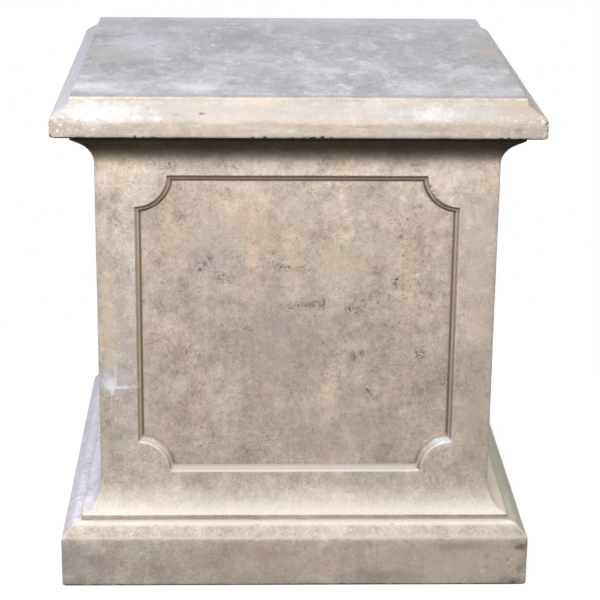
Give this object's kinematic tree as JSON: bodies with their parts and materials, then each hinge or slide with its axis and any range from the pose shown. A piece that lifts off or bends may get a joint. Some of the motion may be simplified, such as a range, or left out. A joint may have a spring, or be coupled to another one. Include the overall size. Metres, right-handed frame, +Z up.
{
  "type": "column base",
  "caption": "Square cast-stone column base: moulded plinth, die with sunk scoop-cornered panels on its sides, concave bed mould and a separate overhanging cap slab.",
  "frame": {"origin": "centre of the square underside, on the surface it stands on", "axes": "+Z up through the cap; +X and +Y square to the sides; the pictured side faces -Y"},
  "size_m": [0.61, 0.61, 0.648],
  "materials": {
    "weathered_cast_stone": "matt, pitted, clouded tan and greenish grey",
    "trowelled_cast_stone": "matt, smooth, grey trowelled top with a paler cream edge"
  },
  "bodies": {
    "root": {"pedestal_body": "weathered_cast_stone", "cap_slab": "trowelled_cast_stone"}
  },
  "joints": []
}
